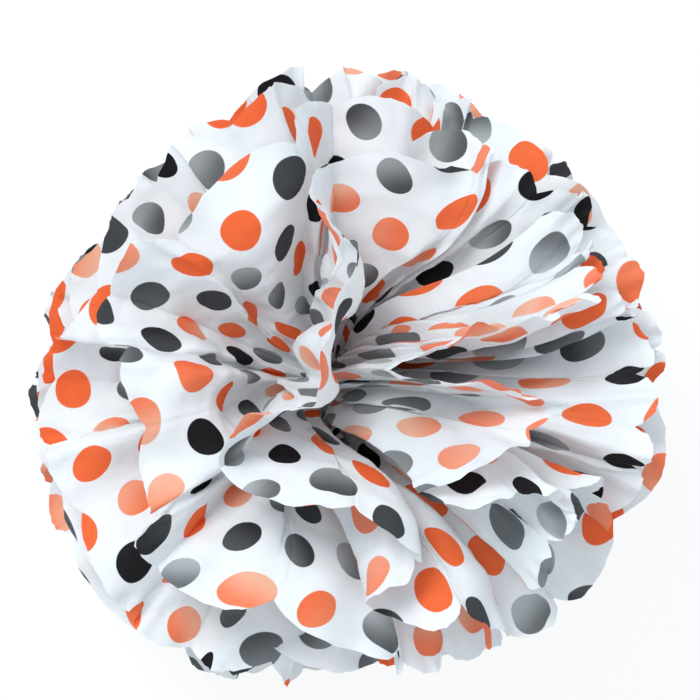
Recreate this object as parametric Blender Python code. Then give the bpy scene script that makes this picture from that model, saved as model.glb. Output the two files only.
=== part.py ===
"""Tissue paper pom pom.

Eight sheets of dotted tissue paper lie in one stack, folded together like an accordion and tied round
the middle with wire. Each sheet then opens into two fans, one on either side of the tie. Four sheets are
pulled up and four down, so that their scalloped ends make a ball.

Metres, +Z up. The origin is the middle of the wire eye that the ball hangs from. The fans open along X,
the pleats are counted along Y, and the sheets are stacked along Z.
"""

import math
import random

import bmesh
import bpy
import numpy as np
from mathutils import Vector

# The paper
ball_diameter = 0.406
pleat_width = 0.042
pleat_count = 12
sheet_count = 8
paper_thickness = 0.0004
layer_gap = 0.00042

# The scalloped ends
scallop_depth = 0.009
reach_spread = 0.015

# How the sheets open
fan_half_angle = math.radians(86.0)
fan_overlap = math.radians(9.0)
top_elevation = math.radians(85.0)
rim_curl = math.radians(7.0)
crown_opening = math.radians(6.0)
crown_bias = 0.5
sheet_turn = math.radians(14.0)
opening_start = 0.002
opening_end = 0.030
pole_lean = 0.050
pole_bend = math.radians(37.0)
ruffle_seed = 1900

# The tied waist
waist_width = 0.013
waist_row = 0.003
opening_row = 0.014

# The wire
wire_diameter = 0.0010
wire_clearance = 0.0004
twist_radius = 0.0009
twist_length = 0.009
twist_turns = 2.0
tail_length = 0.006
tail_turns = 1.5
eye_radius = 0.0030

# Colours
paper_colour = (0.93, 0.94, 0.96, 1.0)
wire_colour = (0.62, 0.62, 0.64, 1.0)

strip_half_length = ball_diameter / 2
layer_pitch = paper_thickness + layer_gap
stack_half_height = (sheet_count * paper_thickness + (sheet_count - 1) * layer_gap) / 2
wire_radius = wire_diameter / 2
waist_wire_z = stack_half_height + wire_clearance + wire_radius
waist_wire_y = waist_width / 2 + wire_clearance + wire_radius
bundle_z = -(eye_radius + twist_length + waist_wire_z)


def clear_scene():
    for old in list(bpy.data.objects):
        bpy.data.objects.remove(old, do_unlink=True)


def material(name, colour, roughness, metallic=0.0):
    made = bpy.data.materials.new(name)
    made.use_nodes = True
    shader = made.node_tree.nodes["Principled BSDF"]
    shader.inputs["Base Color"].default_value = colour
    shader.inputs["Roughness"].default_value = roughness
    shader.inputs["Metallic"].default_value = metallic
    made.diffuse_color = colour
    return made


def ease(value):
    """A smooth step from 0 to 1."""
    value = np.clip(value, 0.0, 1.0)
    return value * value * (3.0 - 2.0 * value)


def blend(first, second, share):
    return first + (second - first) * share


class Ruffle:
    """Where the valleys of one fan lie, and how high, wide and long the lobe between two valleys is."""

    def __init__(self, sheet, side):
        rng = random.Random(ruffle_seed + 20 * sheet + side)
        steep = abs(2 * sheet + 1 - sheet_count) / sheet_count
        widths = (2, 3, 4) if steep < 0.3 else (3, 4)
        valleys = [0]
        while valleys[-1] < pleat_count:
            reached = valleys[-1] + rng.choice(widths)
            valleys.append(reached if reached < pleat_count - 1 else pleat_count)
        lobes = len(valleys) - 1
        shares = []
        for lobe in range(lobes):
            shares.append((valleys[lobe + 1] - valleys[lobe]) * rng.uniform(0.6, 1.5))
        turned = [0.0]
        for share in shares:
            turned.append(turned[-1] + share / sum(shares))
        self.valleys = np.array(valleys, float)
        self.azimuths = np.array(turned) * 2.0 - 1.0
        self.crests = np.array([rng.uniform(0.78, 1.0) for _ in range(lobes)])
        self.flops = np.array([rng.uniform(0.0, 0.9) for _ in range(lobes)])
        self.reaches = np.array([rng.uniform(0.0, 1.0) for _ in range(lobes)])
        self.depths = np.array([rng.uniform(0.8, 1.0) for _ in range(lobes + 1)])
        centres = (self.azimuths[1:] + self.azimuths[:-1]) / 2
        pulls = np.array([rng.uniform(-0.4, 0.4) for _ in range(lobes)]) * np.diff(self.azimuths)
        self.lean_places = np.concatenate([[-1.0], centres, [1.0]])
        self.leans = np.concatenate([[0.0], pulls, [0.0]])
        self.swell = rng.uniform(0.6, 0.85)
        self.fullness = 0.62 if steep > 0.5 else 0.36
        self.turn = sheet_turn * math.sin(2.4 * sheet + 0.6)

    def at_valleys(self, values):
        """A value of each lobe, averaged over the two lobes that meet at each valley."""
        padded = np.concatenate([values[..., :1], values, values[..., -1:]], axis=-1)
        return (padded[..., 1:] + padded[..., :-1]) / 2


def elevation(place):
    """The elevation of a place in the stack, from -1 at the lowest sheet to 1 at the uppermost."""
    return top_elevation * (0.85 * place + 0.15 * place**3)


def reach(ruffle, pleats):
    """How far from the tie the paper ends: short at each fold, and full in the middle of each pleat."""
    within = np.abs(2.0 * (pleats - np.floor(pleats)) - 1.0)
    lobe = np.clip(np.searchsorted(ruffle.valleys, pleats, "right") - 1, 0, len(ruffle.crests) - 1)
    start = ruffle.valleys[lobe]
    share = (pleats - start) / (ruffle.valleys[lobe + 1] - start)
    ends = ruffle.at_valleys(ruffle.reaches)
    between = blend(ends[lobe], ends[lobe + 1], share)
    own = blend(between, ruffle.reaches[lobe], np.sin(math.pi * share) ** 2)
    return strip_half_length - scallop_depth * within**2.5 - reach_spread * own


def paper_point(sheet, side, ruffle, pleats, distance):
    """Where the paper lies, for a place across the pleats and a distance along them from the tie."""
    place = (2 * sheet + 1 - sheet_count) / sheet_count
    outward = 1.0 if place > 0 else -1.0
    half_band = 1.0 / sheet_count
    lobe = np.clip(np.searchsorted(ruffle.valleys, pleats, "right") - 1, 0, len(ruffle.crests) - 1)
    start = ruffle.valleys[lobe]
    width = ruffle.valleys[lobe + 1] - start
    share = (pleats - start) / width

    # Each lobe is as deep as its paper is wider than the arc that it has.
    slope = top_elevation * (0.85 + 0.45 * place**2) * half_band
    arc_shares = np.diff(ruffle.azimuths) * fan_half_angle * math.cos(elevation(place))
    lobe_paper = np.diff(ruffle.valleys) * pleat_width
    far = np.maximum(distance, waist_row)[..., None]
    arcs = far * arc_shares
    spare = np.sqrt(np.maximum(lobe_paper**2 - arcs**2, (0.35 * lobe_paper) ** 2))
    room = blend(0.38, 0.91, ease(distance / strip_half_length))[..., None]
    half_depths = np.minimum(ruffle.fullness * spare / (far * slope), room)
    low = ruffle.at_valleys(half_depths) * ruffle.depths
    here = lobe[..., None]
    crest = np.take_along_axis(half_depths * ruffle.crests, here, -1)[..., 0]
    low_start = np.take_along_axis(low, here, -1)[..., 0]
    low_end = np.take_along_axis(low, here + 1, -1)[..., 0]
    flop = ruffle.flops[lobe] * ease((distance - 0.62 * strip_half_length) / (0.38 * strip_half_length))
    rounding = 0.8 + 0.2 * ease(distance / strip_half_length)
    rise = np.sin(math.pi * share) ** rounding
    offset = blend(-blend(low_start, low_end, share), crest * (1.0 - flop), rise)
    grown = ease((distance - waist_row) / (opening_end * 1.6))
    pleat_wave = np.cos(2.0 * math.pi * pleats)
    ripple = 0.50 * (1.0 - ease((distance - 0.2 * strip_half_length) / (0.85 * strip_half_length)))
    edge = 0.42 * side * blend(1.0, -1.0, pleats / pleat_count) ** 5
    offset = (offset * (1.0 - np.abs(edge)) - ripple * pleat_wave * (1.0 - 0.8 * np.abs(edge)) + edge) * grown

    # The lobe swells over the valleys beside it, and leans to one of them.
    swollen = share + ruffle.swell * np.sin(4.0 * math.pi * share) / (4.0 * math.pi)
    swollen = swollen - 0.3 * np.sin(2.0 * math.pi * share) / (2.0 * math.pi)
    first = ruffle.azimuths[lobe]
    own = first + (ruffle.azimuths[lobe + 1] - first) * swollen
    own = own + np.interp(own, ruffle.lean_places, ruffle.leans) * ((1.0 + offset) / 2) ** 2
    even = 2.0 * pleats / pleat_count - 1.0
    across = blend(even, own, grown)

    opened = ease((distance - opening_start) / (opening_end - opening_start))
    up = elevation(place + outward * offset * half_band)
    curl = rim_curl * ease((distance - 0.55 * strip_half_length) / (0.45 * strip_half_length))
    up = up - curl * np.sin(2.0 * up)
    widened = fan_half_angle + fan_overlap * ease((distance - 0.3 * strip_half_length) / (0.5 * strip_half_length))
    settled = ruffle.turn * ease((distance - 0.2 * strip_half_length) / (0.5 * strip_half_length))
    turn = across * widened * opened + side * settled
    crown = crown_opening * (1.0 + crown_bias * side * np.cos(turn))
    crown = crown * ease((distance - 0.3 * strip_half_length) / (0.7 * strip_half_length))
    up = (up - crown * np.sin(up) ** 4 * np.sign(up)) * opened

    layer = bundle_z + (sheet - (sheet_count - 1) / 2) * layer_pitch
    flat = distance * np.cos(up)
    point = np.stack(
        [
            side * flat * np.cos(turn),
            even * (waist_width - paper_thickness) / 2 + flat * np.sin(turn),
            layer + distance * np.sin(up),
        ],
        axis=-1,
    )
    return leaned(point)


def leaned(point):
    """Bends the top of the ball over to one side and the bottom to the other, and sways the paper a little."""
    x, y, z = point[..., 0], point[..., 1], point[..., 2] - bundle_z
    size = strip_half_length
    away = np.sqrt(x * x + y * y + z * z)
    angle = np.arctan2(z, x)
    bent = angle - pole_bend * ease((away - 0.25 * size) / (0.75 * size)) * np.sin(angle) ** 2
    level = np.sqrt(x * x + z * z)
    x = level * np.cos(bent)
    z = level * np.sin(bent)
    height = z / size
    near = ease(away / (0.6 * size) - 0.15)
    wave = 0.030 * size * near
    return np.stack(
        [
            x + pole_lean * height * np.sqrt(np.abs(height)) + wave * np.sin(3.1 * height + 2.3 * y / size),
            y + wave * np.sin(3.7 * height + 2.9 * x / size + 1.0),
            bundle_z + z + wave * np.sin(3.3 * x / size - 2.1 * y / size),
        ],
        axis=-1,
    )


# Sheets as closed solids

# Each row of a fan, from the tie to the fan's end: the parts that a pleat has, the least distance from the
# tie, and the share of the way from there to the end.
fan_rows = (
    (0.5, waist_row, 0.0),
    (2, opening_row, 0.0),
    (2, opening_row, 0.25),
    (2, opening_row, 0.50),
    (2, opening_row, 0.75),
    (4, opening_row, 1.0),
)


def ring_pleats(parts):
    """Places across the pleats, with each pleat in this many parts."""
    return np.linspace(0.0, pleat_count, round(pleat_count * parts) + 1)


def sheet_rings(sheet):
    """The sheet's places and points in rows, from the scalloped end of one fan to that of the other."""
    rings = []
    for side in (-1, 1):
        ruffle = Ruffle(sheet, side)
        rows = []
        for parts, nearest, share in fan_rows:
            pleats = ring_pleats(parts)
            distance = blend(np.full(len(pleats), nearest), reach(ruffle, pleats), share)
            rows.append((pleats, paper_point(sheet, side, ruffle, pleats, distance)))
        rings.extend(rows[::-1] if side < 0 else rows)
    return rings


def add_band(mesh, first, second, flip):
    """Fills the band between two rows of vertices, each a list of (place across the pleats, vertex)."""
    i = j = 0
    while i < len(first) - 1 or j < len(second) - 1:
        take_first = j == len(second) - 1 or (
            i < len(first) - 1 and first[i + 1][0] < second[j + 1][0] + 1e-9
        )
        if take_first:
            corners = (first[i][1], second[j][1], first[i + 1][1])
            i += 1
        else:
            corners = (first[i][1], second[j][1], second[j + 1][1])
            j += 1
        mesh.faces.new(corners[::-1] if flip else corners)


def add_skin(mesh, rings, flip):
    """Adds one face of the sheet, and gives its rows of vertices."""
    rows = []
    for pleats, points in rings:
        rows.append([(place, mesh.verts.new(tuple(spot))) for place, spot in zip(pleats, points)])
    for first, second in zip(rows, rows[1:]):
        add_band(mesh, first, second, flip)
    return rows


def facing(rings):
    """The way that the paper faces at each point, turned until it suits each facet that meets there."""
    mesh = bmesh.new()
    rows = add_skin(mesh, rings, False)
    mesh.normal_update()
    directions = []
    for row in rows:
        turned = []
        for _, vertex in row:
            direction = vertex.normal.copy()
            for step in range(24):
                least = min(vertex.link_faces, key=lambda facet: facet.normal.dot(direction))
                direction = (direction + least.normal / (3.0 + step)).normalized()
            turned.append(tuple(direction))
        directions.append(np.array(turned))
    mesh.free()
    return directions


def add_wall(mesh, tops, bottoms):
    for i in range(len(tops) - 1):
        mesh.faces.new((tops[i], tops[i + 1], bottoms[i + 1], bottoms[i]))


def make_sheet(sheet, paper):
    mesh = bmesh.new()
    rings = sheet_rings(sheet)
    directions = facing(rings)
    skins = []
    for offset in (paper_thickness / 2, -paper_thickness / 2):
        moved = []
        for (pleats, points), direction in zip(rings, directions):
            moved.append((pleats, points + direction * offset))
        skins.append(add_skin(mesh, moved, offset < 0))
    for row in (0, -1):
        add_wall(mesh, [v for _, v in skins[0][row]], [v for _, v in skins[1][row]])
    for column in (0, -1):
        add_wall(mesh, [row[column][1] for row in skins[0]], [row[column][1] for row in skins[1]])
    bmesh.ops.recalc_face_normals(mesh, faces=mesh.faces)
    name = f"paper_sheet_{sheet + 1}"
    data = bpy.data.meshes.new(name)
    mesh.to_mesh(data)
    mesh.free()
    data.shade_smooth()
    data.set_sharp_from_angle(angle=math.radians(50.0))
    data.materials.append(paper)
    made = bpy.data.objects.new(name, data)
    bpy.context.scene.collection.objects.link(made)
    return made


# The tie wire


def twisted(start_z, end_z, turns, start_angle):
    """One strand of a twist that climbs from start_z to end_z."""
    steps = max(2, round(turns * 7))
    points = []
    for i in range(steps + 1):
        share = i / steps
        angle = start_angle + 2.0 * math.pi * turns * share
        points.append(
            Vector(
                (
                    -twist_radius * math.sin(angle),
                    twist_radius * math.cos(angle),
                    start_z + (end_z - start_z) * share,
                )
            )
        )
    return points


def wire_path():
    """The wire from one cut end to the other: tail, waist, twist, eye, twist, waist, tail."""
    top = bundle_z + waist_wire_z + wire_radius
    bottom = bundle_z - waist_wire_z - wire_radius
    half = []
    half.extend(twisted(bottom - tail_length, bottom - wire_diameter, tail_turns, math.pi * (1 - 2 * tail_turns)))
    corner = wire_radius
    y = waist_wire_y
    z = waist_wire_z
    for place_y, place_z in (
        (-y + corner * 2.5, -z),
        (-y + corner, -z + corner * 0.3),
        (-y, -z + corner),
        (-y, z - corner),
        (-y + corner, z - corner * 0.3),
        (-y + corner * 2.5, z),
    ):
        half.append(Vector((0.0, place_y, bundle_z + place_z)))
    half.extend(twisted(top + wire_diameter, -eye_radius - wire_diameter, twist_turns, math.pi))
    eye = []
    for i in range(5):
        angle = math.radians(-128.0 - 36.0 * i)
        eye.append(Vector((0.0, eye_radius * math.cos(angle), eye_radius * math.sin(angle))))
    half.extend(eye)
    other = [Vector((-p.x, -p.y, p.z)) for p in reversed(half)]
    return half + [Vector((0.0, 0.0, eye_radius))] + other


def make_wire(metal):
    curve = bpy.data.curves.new("tie_wire", "CURVE")
    curve.dimensions = "3D"
    curve.bevel_depth = wire_radius
    curve.bevel_resolution = 1
    curve.use_fill_caps = True
    curve.resolution_u = 1
    path = wire_path()
    spline = curve.splines.new("POLY")
    spline.points.add(len(path) - 1)
    for point, place in zip(spline.points, path):
        point.co = (*place, 1.0)
    curve.materials.append(metal)
    made = bpy.data.objects.new("tie_wire", curve)
    bpy.context.scene.collection.objects.link(made)
    return made


def build():
    clear_scene()
    for sheet in range(sheet_count):
        paper = material(f"tissue_{sheet + 1}", paper_colour, 0.85)
        make_sheet(sheet, paper)
    make_wire(material("florist_wire", wire_colour, 0.35, 1.0))


build()
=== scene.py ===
"""The looks of a tissue paper pom pom: eight sheets of dotted tissue, pleated, tied and fluffed up.

Each sheet is one thin closed skin with a printed face and a paler reverse. Metres, +Z up, origin in the
middle of the wire eye. Seen from above, the left and right of the picture are -X and +X.
"""

import math
import random

import bpy
import numpy as np
from mathutils import Matrix, Vector


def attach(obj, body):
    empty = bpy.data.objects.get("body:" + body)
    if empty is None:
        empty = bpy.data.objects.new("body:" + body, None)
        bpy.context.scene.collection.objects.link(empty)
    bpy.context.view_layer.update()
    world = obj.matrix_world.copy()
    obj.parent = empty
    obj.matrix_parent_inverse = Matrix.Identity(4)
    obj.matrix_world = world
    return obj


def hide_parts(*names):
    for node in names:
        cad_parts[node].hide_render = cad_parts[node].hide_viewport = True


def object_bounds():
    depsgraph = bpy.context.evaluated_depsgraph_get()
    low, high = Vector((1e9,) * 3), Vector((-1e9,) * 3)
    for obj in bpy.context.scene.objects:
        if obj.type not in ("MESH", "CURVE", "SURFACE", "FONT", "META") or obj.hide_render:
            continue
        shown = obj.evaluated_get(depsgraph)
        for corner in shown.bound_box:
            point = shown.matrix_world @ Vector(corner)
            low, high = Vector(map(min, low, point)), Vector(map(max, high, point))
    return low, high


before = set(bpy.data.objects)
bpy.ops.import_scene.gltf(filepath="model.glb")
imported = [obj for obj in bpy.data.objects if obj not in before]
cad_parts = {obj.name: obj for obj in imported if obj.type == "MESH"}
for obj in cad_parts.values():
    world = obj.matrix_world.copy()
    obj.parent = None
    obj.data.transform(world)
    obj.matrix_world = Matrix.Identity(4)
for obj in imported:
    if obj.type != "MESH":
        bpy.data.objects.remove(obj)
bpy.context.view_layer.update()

# The paper, as in the solids
ball_diameter = 0.406
pleat_width = 0.042
pleat_count = 12
sheet_count = 8
paper_thickness = 0.0004
layer_gap = 0.00042
reach_spread = 0.015
waist_width = 0.013
waist_row = 0.003

# How the sheets open, as in the solids
fan_half_angle = math.radians(86.0)
fan_overlap = math.radians(9.0)
top_elevation = math.radians(85.0)
elevation_bend = 0.15
rim_curl = math.radians(7.0)
crown_opening = math.radians(6.0)
crown_bias = 0.5
crown_power = 4
sheet_turn = math.radians(14.0)
opening_start = 0.002
growth_length = 0.048
pole_lean = 0.050
pole_bend = math.radians(37.0)
sway_size = 0.030

# The lobes of a fan, as in the solids: each pair is the least and the most of a random draw
ruffle_seed = 1900
lobe_widths = (3, 4)
flat_lobe_widths = (2, 3, 4)
flat_below = 0.3
steep_above = 0.5
steep_fullness = 0.62
arc_spread = (0.6, 1.5)
crest_spread = (0.78, 1.0)
flop_spread = (0.0, 0.9)
depth_spread = (0.8, 1.0)
swell_spread = (0.6, 0.85)
pull_limit = 0.4
swell_slant = 0.3
least_spare = 0.35
room_at_tie = 0.38
room_at_end = 0.91
rise_power = 0.8
scallop_power = 2.5
edge_rise = 0.42
edge_power = 5
edge_calm = 0.8

# Places along the paper where a change starts and ends, as shares of its half length, as in the solids
flop_span = (0.62, 1.0)
ripple_fade = (0.2, 1.05)
curl_span = (0.55, 1.0)
turn_span = (0.2, 0.7)
crown_span = (0.3, 1.0)
bend_span = (0.25, 1.0)
sway_span = (0.09, 0.69)

# Where this paper differs from the solids: deeper scallops, shallower pleats, fuller middle sheets, an
# earlier opening at the tie, which leaves no slot to see through, and a swing of the outer paper
scallop_depth = 0.012
pleat_ripple = 0.44
flat_fullness = 0.52
opening_end = 0.018
overlap_span = (0.0, 0.16)
swing_size = 0.0085
swing_power = 1.5
# The height of each wave, its count round the ball, its phase, and what the phase gains outwards
swing_waves = ((1.0, 6.0, 1.3, 2.0), (0.7, 11.0, 0.0, 5.0), (0.4, 17.0, 0.6, 0.0))

# The wire, as in the solids
wire_radius = 0.0005
wire_clearance = 0.0004
twist_length = 0.009
eye_radius = 0.0030

strip_half_length = ball_diameter / 2
layer_pitch = paper_thickness + layer_gap
stack_half_height = (sheet_count * paper_thickness + (sheet_count - 1) * layer_gap) / 2
bundle_z = -(eye_radius + twist_length + stack_half_height + wire_clearance + wire_radius)

# The grid of a fine skin
skin_gap = 0.00012
pleat_steps = 17
length_steps = 60
row_crowding = 1.15
sharp_angle = math.radians(62.0)

# Soft dents, as pairs of wavelength and height
crumple_seed = 500
dent_size = 0.00042
dent_waves = ((0.050, 1.0), (0.034, 0.8), (0.024, 0.6), (0.016, 0.4), (0.011, 0.28))
dent_repeats = 3
dent_span = (0.15, 0.40)

# Sharp creases
crease_count = 34
crease_size = 0.0011
crease_slant = 0.9
crease_start = 0.4
crease_widths = (0.006, 0.014)
crease_full_width = 0.010
crease_length = 0.035

# The flutter along the rim, and its ragged cut
flutter_size = 0.0024
flutter_length = 0.033
flutter_sway = 0.7
flutter_sway_length = 0.021
fine_flutter_length = 0.014
flutter_span = (0.74, 1.0)
flutter_power = 1.5
tear_seed = 900
tear_size = 0.0011
tear_lengths = (0.027, 0.017, 0.011, 0.007)
widest_phase = 6.0

# The print: staggered rows of dots, with a painted sheen on some of them
print_seed = 90
print_shift = 0.2
print_tilt = 4.0
print_row = 0.72
print_start = 0.02
print_widening = 0.06
dot_radius = 0.0117
dot_pitch = 0.0398
row_pitch = 0.0345
ink_edge = 0.00025
black_from = 0.48
grey_from = 0.75
fading = (0.30, 0.95)
# A painted sheen: the paleness of a faded dot grows towards one side of it
fade_side = 0.9
fade_even = 0.25
reverse_fade = 0.38
colour_draw_step = 3.7
colour_draw_start = 0.5

# The paper's own surface, and the bluish grey patches of painted shade on it
paper_roughness = 0.62
paper_gloss = 0.22
see_through = 0.44
# Painted shade: random bluish grey patches, drawn out along the pleats, painted into the paper's colour to
# stand for the shade of the thin layers
shade_patch_stretch = 0.32
shade_patch_scale = 42.0
shade_patch_roughness = 0.62
shade_patch_range = (0.46, 0.78)
shade_patch_share = 0.45
wrinkle_stretch = 0.45
wrinkle_scale = 75.0
wrinkle_roughness = 0.60
noise_detail = 5.0
grain_scale = 900.0
grain_roughness = 0.6
grain_share = 0.05
fold_width = 0.035
fold_share = 0.30
bump_strength = 0.55
bump_distance = 0.0022

# Colours, as linear light
paper_white = (0.935, 0.952, 0.965, 1.0)
paper_reverse = (0.895, 0.925, 0.945, 1.0)
# The bluish grey of the painted shade patches
painted_shade_colour = (0.70, 0.76, 0.81, 1.0)
orange = (0.94, 0.205, 0.062, 1.0)
peach = (0.94, 0.59, 0.43, 1.0)
black = (0.013, 0.012, 0.015, 1.0)
dark_grey = (0.078, 0.084, 0.090, 1.0)
light_grey = (0.56, 0.585, 0.60, 1.0)
steel = (0.55, 0.56, 0.58, 1.0)
dark_steel = (0.35, 0.35, 0.37, 1.0)
floor_white = (0.90, 0.905, 0.915, 1.0)
floor_shade = (0.85, 0.86, 0.88, 1.0)
pure_white = (1.0, 1.0, 1.0, 1.0)

# The studio
floor_half_size = 30.0
floor_gap = 0.002
floor_whitening = 0.84
key_place = (-2.2, 2.5, 4.4)
key_size = 2.2
key_power = 188.0
key_colour = (0.985, 1.0, 1.0)
world_colour = (0.83, 0.935, 1.0, 1.0)
camera_tilt = math.radians(6.0)
camera_distance = 2.6
camera_shift_right = 0.0056
camera_shift_up = 0.0158
frame_width = 0.4506
sensor_width = 36.0


# The shape of the paper


def ease(value):
    """A smooth step from 0 to 1."""
    value = np.clip(value, 0.0, 1.0)
    return value * value * (3.0 - 2.0 * value)


def grow(distance, start, end):
    """A smooth step from 0 to 1 between two places along the paper, as shares of its half length."""
    return ease((distance / strip_half_length - start) / (end - start))


def blend(first, second, share):
    return first + (second - first) * share


def fan_random(seed, sheet, side):
    """The random draws of one fan, the same each time."""
    return random.Random(seed + 20 * sheet + side)


def stack_place(sheet):
    """The sheet's place in the stack, between -1 at the bottom and 1 at the top."""
    return (2 * sheet + 1 - sheet_count) / sheet_count


class Ruffle:
    """Where the valleys of one fan lie, and how high, wide and long the lobe between two valleys is."""

    def __init__(self, sheet, side):
        rng = fan_random(ruffle_seed, sheet, side)
        steep = abs(stack_place(sheet))
        widths = flat_lobe_widths if steep < flat_below else lobe_widths
        valleys = [0]
        while valleys[-1] < pleat_count:
            reached = valleys[-1] + rng.choice(widths)
            valleys.append(reached if reached < pleat_count - 1 else pleat_count)
        lobes = len(valleys) - 1
        shares = []
        for lobe in range(lobes):
            shares.append((valleys[lobe + 1] - valleys[lobe]) * rng.uniform(*arc_spread))
        turned = [0.0]
        for share in shares:
            turned.append(turned[-1] + share / sum(shares))
        self.valleys = np.array(valleys, float)
        self.azimuths = np.array(turned) * 2.0 - 1.0
        self.crests = np.array([rng.uniform(*crest_spread) for _ in range(lobes)])
        self.flops = np.array([rng.uniform(*flop_spread) for _ in range(lobes)])
        self.reaches = np.array([rng.uniform(0.0, 1.0) for _ in range(lobes)])
        self.depths = np.array([rng.uniform(*depth_spread) for _ in range(lobes + 1)])
        centres = (self.azimuths[1:] + self.azimuths[:-1]) / 2
        pulls = np.array([rng.uniform(-pull_limit, pull_limit) for _ in range(lobes)])
        self.lean_places = np.concatenate([[-1.0], centres, [1.0]])
        self.leans = np.concatenate([[0.0], pulls * np.diff(self.azimuths), [0.0]])
        self.swell = rng.uniform(*swell_spread)
        self.fullness = steep_fullness if steep > steep_above else flat_fullness
        self.turn = sheet_turn * math.sin(2.4 * sheet + 0.6)

    def lobe_at(self, pleats):
        """The lobe at a place across the pleats, and how much of that lobe lies before the place."""
        lobe = np.clip(np.searchsorted(self.valleys, pleats, "right") - 1, 0, len(self.crests) - 1)
        start = self.valleys[lobe]
        return lobe, (pleats - start) / (self.valleys[lobe + 1] - start)

    def at_valleys(self, values):
        """A value of each lobe, averaged over the two lobes that meet at each valley."""
        padded = np.concatenate([values[..., :1], values, values[..., -1:]], axis=-1)
        return (padded[..., 1:] + padded[..., :-1]) / 2


def elevation(place):
    """The elevation of a place in the stack, from -1 at the lowest sheet to 1 at the uppermost."""
    return top_elevation * ((1.0 - elevation_bend) * place + elevation_bend * place**3)


def reach(ruffle, pleats):
    """How far from the tie the paper ends: short at each fold, and full in the middle of each pleat."""
    within = np.abs(2.0 * (pleats - np.floor(pleats)) - 1.0)
    lobe, share = ruffle.lobe_at(pleats)
    ends = ruffle.at_valleys(ruffle.reaches)
    between = blend(ends[lobe], ends[lobe + 1], share)
    own = blend(between, ruffle.reaches[lobe], np.sin(math.pi * share) ** 2)
    return strip_half_length - scallop_depth * within**scallop_power - reach_spread * own


def paper_point(sheet, side, ruffle, pleats, distance):
    """Where the paper lies, for a place across the pleats and a distance along them from the tie."""
    place = stack_place(sheet)
    outward = 1.0 if place > 0 else -1.0
    half_band = 1.0 / sheet_count
    lobe, share = ruffle.lobe_at(pleats)

    # Each lobe is as deep as its paper is wider than the arc that it has.
    slope = top_elevation * (1.0 - elevation_bend + 3.0 * elevation_bend * place**2) * half_band
    arc_shares = np.diff(ruffle.azimuths) * fan_half_angle * math.cos(elevation(place))
    lobe_paper = np.diff(ruffle.valleys) * pleat_width
    far = np.maximum(distance, waist_row)[..., None]
    arcs = far * arc_shares
    spare = np.sqrt(np.maximum(lobe_paper**2 - arcs**2, (least_spare * lobe_paper) ** 2))
    room = blend(room_at_tie, room_at_end, grow(distance, 0.0, 1.0))[..., None]
    half_depths = np.minimum(ruffle.fullness * spare / (far * slope), room)
    low = ruffle.at_valleys(half_depths) * ruffle.depths
    here = lobe[..., None]
    crest = np.take_along_axis(half_depths * ruffle.crests, here, -1)[..., 0]
    low_start = np.take_along_axis(low, here, -1)[..., 0]
    low_end = np.take_along_axis(low, here + 1, -1)[..., 0]
    flop = ruffle.flops[lobe] * grow(distance, *flop_span)
    rise = np.sin(math.pi * share) ** blend(rise_power, 1.0, grow(distance, 0.0, 1.0))
    offset = blend(-blend(low_start, low_end, share), crest * (1.0 - flop), rise)

    # Each pleat has its own wave near the tie, and the fan's edges rise to meet the fan on the other side.
    grown = ease((distance - waist_row) / growth_length)
    pleat_wave = np.cos(2.0 * math.pi * pleats) * pleat_ripple * (1.0 - grow(distance, *ripple_fade))
    edge = edge_rise * side * blend(1.0, -1.0, pleats / pleat_count) ** edge_power
    calm = 1.0 - edge_calm * np.abs(edge)
    offset = (offset * (1.0 - np.abs(edge)) - pleat_wave * calm + edge) * grown

    # The lobe swells over the valleys beside it, and leans to one of them.
    swollen = share + ruffle.swell * np.sin(4.0 * math.pi * share) / (4.0 * math.pi)
    swollen = swollen - swell_slant * np.sin(2.0 * math.pi * share) / (2.0 * math.pi)
    first = ruffle.azimuths[lobe]
    own = first + (ruffle.azimuths[lobe + 1] - first) * swollen
    own = own + np.interp(own, ruffle.lean_places, ruffle.leans) * ((1.0 + offset) / 2) ** 2
    even = 2.0 * pleats / pleat_count - 1.0
    across = blend(even, own, grown)

    opened = ease((distance - opening_start) / (opening_end - opening_start))
    up = elevation(place + outward * offset * half_band)
    up = up - rim_curl * grow(distance, *curl_span) * np.sin(2.0 * up)
    widened = fan_half_angle + fan_overlap * grow(distance, *overlap_span)
    turn = across * widened * opened + side * ruffle.turn * grow(distance, *turn_span)
    crown = crown_opening * (1.0 + crown_bias * side * np.cos(turn)) * grow(distance, *crown_span)
    up = (up - crown * np.sin(up) ** crown_power * np.sign(up)) * opened

    layer = bundle_z + (sheet - (sheet_count - 1) / 2) * layer_pitch
    flat = distance * np.cos(up)
    point = np.stack(
        [
            side * flat * np.cos(turn),
            even * (waist_width - paper_thickness) / 2 + flat * np.sin(turn),
            layer + distance * np.sin(up),
        ],
        axis=-1,
    )
    return leaned(point)


def leaned(point):
    """Bends the top of the ball to one side and the bottom to the other, and makes the paper sway."""
    x, y, z = point[..., 0], point[..., 1], point[..., 2] - bundle_z
    size = strip_half_length
    away = np.sqrt(x * x + y * y + z * z)
    angle = np.arctan2(z, x)
    bent = angle - pole_bend * grow(away, *bend_span) * np.sin(angle) ** 2
    level = np.sqrt(x * x + z * z)
    x = level * np.cos(bent)
    z = level * np.sin(bent)
    height = z / size

    # The swing depends on the place seen from above alone, so that no sheet swings through another.
    round_about = np.arctan2(y, x)
    outward = np.sqrt(x * x + y * y) / size
    swing = np.zeros_like(outward)
    for wave_height, count, phase, gain in swing_waves:
        swing = swing + wave_height * np.sin(count * round_about + phase + gain * outward)
    lift = swing_size * swing * ease(outward) ** swing_power

    # The sway moves each place by what the other two directions say, in waves of about the ball's size.
    wave = sway_size * size * grow(away, *sway_span)
    lean = pole_lean * height * np.sqrt(np.abs(height))
    return np.stack(
        [
            x + lean + wave * np.sin(3.1 * height + 2.3 * y / size),
            y + wave * np.sin(3.7 * height + 2.9 * x / size + 1.0),
            bundle_z + z + lift + wave * np.sin(3.3 * x / size - 2.1 * y / size),
        ],
        axis=-1,
    )


# Fine skins


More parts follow.
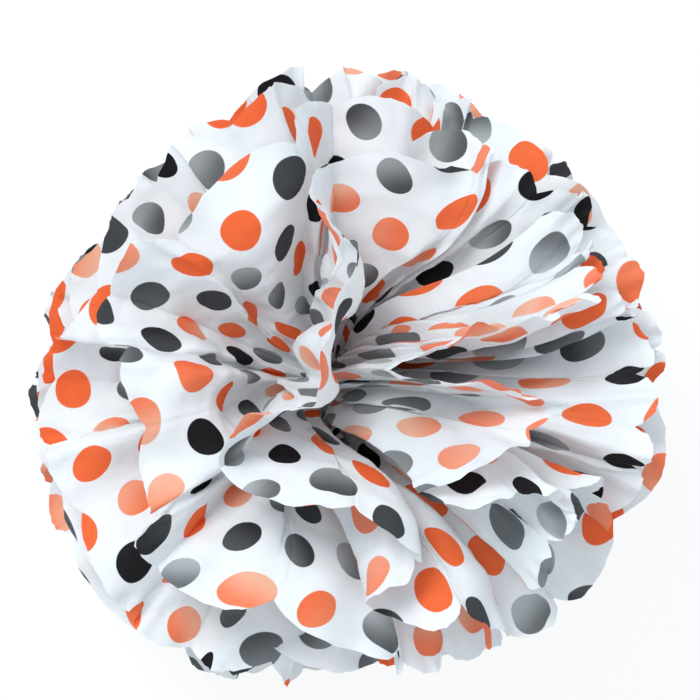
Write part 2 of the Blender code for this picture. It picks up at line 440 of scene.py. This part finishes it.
def dented(rng, across, distance):
    """Soft dents, as waves that run every way and waver, so that no straight ripples show."""
    dents = np.zeros_like(distance)
    for length, size in dent_waves:
        for _ in range(dent_repeats):
            angle = rng.uniform(0.0, math.pi)
            phase = rng.uniform(0.0, 2.0 * math.pi)
            along = (across * math.cos(angle) + distance * math.sin(angle)) * 2.0 * math.pi / length
            dents += size * np.sin(along + phase + 0.9 * np.sin(along * 0.37 + phase * 1.7))
    return dents


def creased(rng, across, distance):
    """Short straight creases, each a sharp ridge or valley that dies out at both ends."""
    creases = np.zeros_like(distance)
    for _ in range(crease_count):
        turn = rng.uniform(-crease_slant, crease_slant)
        beyond = across - rng.uniform(0.0, pleat_count * pleat_width)
        above = distance - rng.uniform(crease_start, 1.0) * strip_half_length
        off = beyond * math.cos(turn) - above * math.sin(turn)
        along = beyond * math.sin(turn) + above * math.cos(turn)
        width = rng.uniform(*crease_widths)
        height = rng.choice((-1.0, 1.0)) * rng.uniform(0.5, 1.0) * width / crease_full_width
        ridge = np.maximum(0.0, 1.0 - np.abs(off) / width)
        creases += height * ridge * np.exp(-((along / crease_length) ** 2))
    return creases


def fluttering(rng, across):
    """The flutter along the rim: wide waves with sharp tops, and fine soft ones."""
    sway = flutter_sway * np.sin(across / flutter_sway_length + rng.uniform(0.0, widest_phase))
    wide = math.pi * across / flutter_length + sway + rng.uniform(0.0, widest_phase)
    fine = 2.0 * math.pi * across / fine_flutter_length + rng.uniform(0.0, widest_phase)
    return 1.0 - 2.0 * np.abs(np.sin(wide)) + 0.5 * np.sin(fine)


def crumple(sheet, side, pleats, distance):
    """How far the paper stands off its smooth shape: dents and creases, and a flutter at its end."""
    rng = fan_random(crumple_seed, sheet, side)
    across = pleats * pleat_width
    dents = dent_size * dented(rng, across, distance)
    creases = crease_size * creased(rng, across, distance)
    near_end = grow(distance, *flutter_span) ** flutter_power
    flutter = flutter_size * fluttering(rng, across) * near_end
    return grow(distance, *dent_span) * (dents + creases + flutter)


def torn(sheet, side, pleats):
    """How much shorter than its scallops the paper is, where the cut wavers."""
    rng = fan_random(tear_seed, sheet, side)
    across = pleats * pleat_width
    wave = np.zeros_like(across)
    for length in tear_lengths:
        bite = np.abs(np.sin(math.pi * across / length + rng.uniform(0.0, widest_phase)))
        wave += bite * rng.uniform(0.5, 1.0)
    return tear_size * wave


def normals_of(points):
    """The unit normal at each point of a grid."""
    along = np.gradient(points, axis=0)
    across = np.gradient(points, axis=1)
    normal = np.cross(along, across)
    return normal / np.maximum(np.linalg.norm(normal, axis=-1, keepdims=True), 1e-12)


def sheet_grid(sheet):
    """The paper as one grid, from the left fan's end to the right one's, with its print and fold places."""
    pleats = np.linspace(0.0, pleat_count, pleat_count * pleat_steps + 1)
    shares = np.linspace(0.0, 1.0, length_steps + 1) ** row_crowding
    halves = []
    for side in (-1, 1):
        ruffle = Ruffle(sheet, side)
        ends = reach(ruffle, pleats) - torn(sheet, side, pleats)
        distance = ends[None, :] * shares[:, None]
        across = np.broadcast_to(pleats[None, :], distance.shape)
        points = paper_point(sheet, side, ruffle, across, distance)
        normals = normals_of(points) * side
        points = points + normals * crumple(sheet, side, across, distance)[..., None]

        # The print is laid out by the lengths along one row, so that the dots stay round on the lobes.
        row = np.argmin(np.abs(shares - print_row))
        steps = np.linalg.norm(np.diff(points[row], axis=0), axis=-1)
        measured = np.concatenate([[0.0], np.cumsum(steps)])
        measured = measured - measured[-1] / 2
        even = (pleats - pleat_count / 2) * pleat_width
        spread = ease((distance - print_start) / print_widening)
        printed = np.stack([blend(even[None, :], measured[None, :], spread), side * distance], axis=-1)
        folded = np.stack([across * pleat_width, side * distance], axis=-1)
        halves.append((points, printed, folded))
    joined = []
    for left, right in zip(*halves):
        joined.append(np.concatenate([left[::-1], right[1:]], axis=0))
    return joined


def sheet_object(sheet, materials):
    """One sheet as a thin closed skin: printed face, reverse, and the cut edge between them."""
    points, printed, folded = sheet_grid(sheet)
    half_gap = normals_of(points) * skin_gap / 2
    rows, columns = points.shape[:2]
    count = rows * columns
    skins = np.concatenate([points + half_gap, points - half_gap]).reshape(-1, 3)
    index = np.arange(count).reshape(rows, columns)
    corners = [index[:-1, :-1], index[1:, :-1], index[1:, 1:], index[:-1, 1:]]
    face = np.stack(corners, axis=-1).reshape(-1, 4)
    ring = np.concatenate([index[:-1, 0], index[-1, :-1], index[:0:-1, -1], index[0, :0:-1]])
    following = np.roll(ring, -1)
    wall = np.stack([following, ring, ring + count, following + count], axis=-1)
    # The reverse has its corners in another order, with the same diagonal, so that the skins never cross.
    faces = np.concatenate([face, face[:, [0, 3, 2, 1]] + count, wall])
    slots = np.concatenate([np.zeros(len(face), int), np.ones(len(face), int), np.zeros(len(wall), int)])

    name = f"tissue_sheet_{sheet + 1}"
    mesh = bpy.data.meshes.new(name)
    mesh.vertices.add(len(skins))
    mesh.vertices.foreach_set("co", skins.astype(np.float32).ravel())
    mesh.loops.add(faces.size)
    mesh.loops.foreach_set("vertex_index", faces.astype(np.int32).ravel())
    mesh.polygons.add(len(faces))
    mesh.polygons.foreach_set("loop_start", np.arange(0, faces.size, 4, dtype=np.int32))
    mesh.polygons.foreach_set("material_index", slots.astype(np.int32))
    mesh.update(calc_edges=True)
    for layer_name, places in (("print", printed), ("folds", folded)):
        layer = mesh.uv_layers.new(name=layer_name)
        flat = np.concatenate([places.reshape(-1, 2)] * 2)
        layer.data.foreach_set("uv", flat[faces.ravel()].astype(np.float32).ravel())
    mesh.shade_smooth()
    mesh.set_sharp_from_angle(angle=sharp_angle)
    for made in materials:
        mesh.materials.append(made)
    piece = bpy.data.objects.new(name, mesh)
    bpy.context.scene.collection.objects.link(piece)
    return piece


# Materials


class Nodes:
    """Short calls for building the nodes of a material or a world."""

    def __init__(self, owner, shader, output):
        owner.use_nodes = True
        self.owner = owner
        self.tree = owner.node_tree
        self.shader = self.tree.nodes[shader]
        self.output = self.tree.nodes[output]

    def add(self, kind, inputs=(), **settings):
        node = self.tree.nodes.new(kind)
        for key, value in settings.items():
            setattr(node, key, value)
        for key, value in dict(inputs).items():
            self.put(node.inputs[key], value)
        return node

    def put(self, socket, value):
        if isinstance(value, bpy.types.NodeSocket):
            self.tree.links.new(value, socket)
        else:
            socket.default_value = value

    def math(self, operation, first, second=0.0, third=0.0):
        node = self.add("ShaderNodeMath", operation=operation)
        for socket, value in zip(node.inputs, (first, second, third)):
            self.put(socket, value)
        return node.outputs[0]

    def mix(self, share, first, second):
        inputs = {"Factor": share, "A": first, "B": second}
        node = self.add("ShaderNodeMix", data_type="RGBA")
        for key, value in inputs.items():
            self.put(node.inputs[key], value)
        return node.outputs["Result"]

    def smooth(self, value, low, high):
        inputs = {"Value": value, "From Min": low, "From Max": high}
        return self.add("ShaderNodeMapRange", inputs, interpolation_type="SMOOTHSTEP").outputs["Result"]

    def noise(self, vector, scale, detail=2.0, roughness=0.5):
        inputs = {"Vector": vector, "Scale": scale, "Detail": detail, "Roughness": roughness}
        return self.add("ShaderNodeTexNoise", inputs).outputs["Fac"]

    def stretched(self, vector, stretch):
        """The places drawn out along the pleats."""
        return self.add("ShaderNodeMapping", {"Vector": vector, "Scale": (1.0, stretch, 1.0)}).outputs[0]

    def steps(self, value, stops):
        """One plain colour after another, each from its own place on."""
        node = self.add("ShaderNodeValToRGB", {"Fac": value})
        ramp = node.color_ramp
        ramp.interpolation = "CONSTANT"
        for number, (place, colour) in enumerate(stops):
            stop = ramp.elements[number] if number < 2 else ramp.elements.new(place)
            stop.position = place
            stop.color = colour
        return node.outputs["Color"]

    def seen(self):
        """1 for what is looked at, straight or by way of a gloss or a clear thing, and 0 for what lights."""
        path = self.add("ShaderNodeLightPath").outputs
        seen = self.math("MAXIMUM", path["Is Camera Ray"], path["Is Glossy Ray"])
        return self.math("MAXIMUM", seen, path["Is Transmission Ray"])

    def finish_with(self, share, first, second):
        """Sends a mix of two shaders to the output."""
        both = self.add("ShaderNodeMixShader")
        for socket, value in zip(both.inputs, (share, first, second)):
            self.put(socket, value)
        self.put(self.output.inputs["Surface"], both.outputs[0])


def material_nodes(name):
    return Nodes(bpy.data.materials.new(name), "Principled BSDF", "Material Output")


def dot_pattern(nodes, sheet):
    """Staggered dots: how much of a dot is here, its full and pale colours, and how pale the dot is, from
    thin ink and a painted sheen.
    """
    rng = random.Random(print_seed + sheet)
    place = nodes.add("ShaderNodeUVMap", uv_map="print").outputs[0]
    shift = (rng.uniform(0.0, print_shift), rng.uniform(0.0, print_shift), 0.0)
    turn = math.radians(rng.choice((0.0, 90.0)) + rng.uniform(-print_tilt, print_tilt))
    laid = {"Vector": place, "Location": shift, "Rotation": (0.0, 0.0, turn)}
    turned = nodes.add("ShaderNodeMapping", laid)
    parts = nodes.add("ShaderNodeSeparateXYZ", {"Vector": turned.outputs[0]})
    rows = nodes.math("DIVIDE", parts.outputs["Y"], row_pitch)
    row = nodes.math("FLOOR", rows)
    stagger = nodes.math("MULTIPLY", nodes.math("PINGPONG", row, 1.0), 0.5)
    columns = nodes.math("ADD", nodes.math("DIVIDE", parts.outputs["X"], dot_pitch), stagger)
    column = nodes.math("FLOOR", columns)
    in_column = nodes.math("SUBTRACT", nodes.math("SUBTRACT", columns, column), 0.5)
    in_row = nodes.math("SUBTRACT", nodes.math("SUBTRACT", rows, row), 0.5)
    right = nodes.math("MULTIPLY", in_column, dot_pitch)
    above = nodes.math("MULTIPLY", in_row, row_pitch)
    square = nodes.math("ADD", nodes.math("MULTIPLY", right, right), nodes.math("MULTIPLY", above, above))
    distance = nodes.math("SQRT", square)
    inked = nodes.smooth(distance, dot_radius + ink_edge, dot_radius - ink_edge)

    draw = colour_draw_step * sheet + colour_draw_start
    cell = nodes.add("ShaderNodeCombineXYZ", {"X": column, "Y": row, "Z": draw})
    chance = nodes.add("ShaderNodeTexWhiteNoise", {"Vector": cell.outputs[0]})
    hues = nodes.add("ShaderNodeSeparateColor", {"Color": chance.outputs["Color"]}).outputs
    ink = nodes.steps(hues["Red"], ((0.0, orange), (black_from, black), (grey_from, dark_grey)))
    pale_ink = nodes.steps(hues["Red"], ((0.0, peach), (black_from, light_grey)))

    # Thin ink and painted sheen: some dots are a little paler all over from thin ink, and paler still
    # towards one side as a painted sheen, in a random direction for each dot.
    angle = nodes.math("MULTIPLY", hues["Blue"], 2.0 * math.pi)
    lean_x = nodes.math("MULTIPLY", right, nodes.math("COSINE", angle))
    lean_y = nodes.math("MULTIPLY", above, nodes.math("SINE", angle))
    lean = nodes.math("DIVIDE", nodes.math("ADD", lean_x, lean_y), dot_radius)
    faded = nodes.smooth(hues["Green"], *fading)
    painted_sheen_side = nodes.smooth(lean, -fade_side, fade_side)
    thin = nodes.math("MULTIPLY", faded, nodes.math("MULTIPLY_ADD", painted_sheen_side, 1.0 - fade_even, fade_even))
    return inked, ink, pale_ink, thin


def tissue(sheet, reverse):
    """Tissue paper: matt, slightly see-through, lightly crinkled, with a soft crease at each old fold, and
    bluish grey patches of painted shade in its colour.
    """
    nodes = material_nodes(f"tissue_{sheet + 1}_{'reverse' if reverse else 'printed'}")
    inked, ink, pale_ink, thin = dot_pattern(nodes, sheet)
    if reverse:
        thin = nodes.math("MINIMUM", nodes.math("ADD", thin, reverse_fade), 1.0)
    dye = nodes.mix(thin, ink, pale_ink)
    folds = nodes.add("ShaderNodeUVMap", uv_map="folds").outputs[0]
    # Painted shade: bluish grey patches, drawn out along the pleats, darken the paper's colour
    shade_patches = nodes.noise(nodes.stretched(folds, shade_patch_stretch), shade_patch_scale, noise_detail, shade_patch_roughness)
    painted_shade = nodes.math("MULTIPLY", nodes.smooth(shade_patches, *shade_patch_range), shade_patch_share)
    base = nodes.mix(painted_shade, paper_reverse if reverse else paper_white, painted_shade_colour)
    colour = nodes.mix(inked, base, dye)
    nodes.put(nodes.shader.inputs["Base Color"], colour)
    nodes.shader.inputs["Roughness"].default_value = paper_roughness
    nodes.shader.inputs["Specular IOR Level"].default_value = paper_gloss

    # Creases at the old folds, crinkles and grain
    parts = nodes.add("ShaderNodeSeparateXYZ", {"Vector": folds})
    pleat = nodes.math("DIVIDE", parts.outputs["X"], pleat_width)
    beside = nodes.math("ABSOLUTE", nodes.math("SUBTRACT", pleat, nodes.math("ROUND", pleat)))
    crease = nodes.smooth(beside, 0.0, fold_width)
    drawn = nodes.stretched(folds, wrinkle_stretch)
    wrinkle = nodes.noise(drawn, wrinkle_scale, noise_detail, wrinkle_roughness)
    grain = nodes.noise(folds, grain_scale, roughness=grain_roughness)
    height = nodes.math("ADD", nodes.math("MULTIPLY", crease, fold_share), wrinkle)
    height = nodes.math("ADD", height, nodes.math("MULTIPLY", grain, grain_share))
    relief = {"Height": height, "Strength": bump_strength, "Distance": bump_distance}
    bump = nodes.add("ShaderNodeBump", relief).outputs[0]
    nodes.put(nodes.shader.inputs["Normal"], bump)

    glow = nodes.add("ShaderNodeBsdfTranslucent", {"Color": colour, "Normal": bump})
    nodes.finish_with(see_through, nodes.shader.outputs[0], glow.outputs[0])
    return nodes.owner


def wire_metal():
    """Thin florist's wire: dull steel with fine drawn lines."""
    nodes = material_nodes("florist_wire")
    place = nodes.add("ShaderNodeTexCoord").outputs["Object"]
    drawn = nodes.noise(place, 4000.0, 3.0)
    colour = nodes.mix(nodes.math("MULTIPLY", drawn, 0.3), steel, dark_steel)
    nodes.put(nodes.shader.inputs["Base Color"], colour)
    nodes.shader.inputs["Metallic"].default_value = 1.0
    nodes.put(nodes.shader.inputs["Roughness"], nodes.math("MULTIPLY_ADD", drawn, 0.2, 0.25))
    return nodes.owner


# The pieces

for sheet in range(sheet_count):
    piece = sheet_object(sheet, (tissue(sheet, False), tissue(sheet, True)))
    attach(piece, "root")
    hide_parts(f"paper_sheet_{sheet + 1}")

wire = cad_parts["tie_wire"]
wire.data.materials.clear()
wire.data.materials.append(wire_metal())


# Floor, light and camera


def add_floor(height):
    half = floor_half_size
    mesh = bpy.data.meshes.new("studio_floor")
    corners = [(-half, -half, height), (half, -half, height), (half, half, height), (-half, half, height)]
    mesh.from_pydata(corners, [], [(0, 1, 2, 3)])
    floor = bpy.data.objects.new("studio_floor", mesh)
    bpy.context.scene.collection.objects.link(floor)
    nodes = material_nodes("floor_paint")
    place = nodes.add("ShaderNodeTexCoord").outputs["Object"]
    speckle = nodes.math("MULTIPLY", nodes.noise(place, 60.0), 0.02)
    nodes.put(nodes.shader.inputs["Base Color"], nodes.mix(speckle, floor_white, floor_shade))
    nodes.shader.inputs["Roughness"].default_value = 0.9
    nodes.shader.inputs["Specular IOR Level"].default_value = 0.1

    # The floor shows whiter than it lights the ball, and keeps a soft shadow.
    white = nodes.add("ShaderNodeEmission", {"Color": pure_white, "Strength": 1.0})
    whitened = nodes.math("MULTIPLY", nodes.seen(), floor_whitening)
    nodes.finish_with(whitened, nodes.shader.outputs[0], white.outputs[0])
    mesh.materials.append(nodes.owner)


def add_key_light(target):
    """One large round lamp, above the ball's upper left."""
    data = bpy.data.lights.new("key", "AREA")
    data.shape = "DISK"
    data.size = key_size
    data.energy = key_power
    data.color = key_colour
    light = bpy.data.objects.new("key", data)
    light.location = key_place
    light.rotation_euler = (target - Vector(key_place)).to_track_quat("-Z", "Y").to_euler()
    bpy.context.scene.collection.objects.link(light)


def add_world():
    """A cool fill light from all round, which shows as white."""
    nodes = Nodes(bpy.data.worlds.new("studio"), "Background", "World Output")
    bpy.context.scene.world = nodes.owner
    nodes.shader.inputs["Color"].default_value = world_colour
    nodes.shader.inputs["Strength"].default_value = 1.0
    white = nodes.add("ShaderNodeBackground", {"Color": pure_white, "Strength": 1.0})
    nodes.finish_with(nodes.seen(), nodes.shader.outputs[0], white.outputs[0])


def add_camera(centre):
    """Looks down on the ball from above its left side, with +Y at the top of the picture."""
    back = Vector((-math.sin(camera_tilt), 0.0, math.cos(camera_tilt)))
    top = Vector((0.0, 1.0, 0.0))
    right = top.cross(back)
    target = centre + right * camera_shift_right + top * camera_shift_up
    data = bpy.data.cameras.new("camera")
    data.sensor_width = sensor_width
    data.lens = sensor_width * camera_distance / frame_width
    data.clip_end = 100.0
    camera = bpy.data.objects.new("camera", data)
    turned = Matrix((right, top, back)).transposed().to_4x4()
    camera.matrix_world = Matrix.Translation(target + back * camera_distance) @ turned
    bpy.context.scene.collection.objects.link(camera)
    bpy.context.scene.camera = camera


ball_low, ball_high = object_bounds()
middle = (ball_low + ball_high) / 2
add_floor(ball_low.z - floor_gap)
add_key_light(middle)
add_world()
add_camera(Vector((middle.x, middle.y, bundle_z)))
bpy.context.scene.view_settings.view_transform = "Standard"
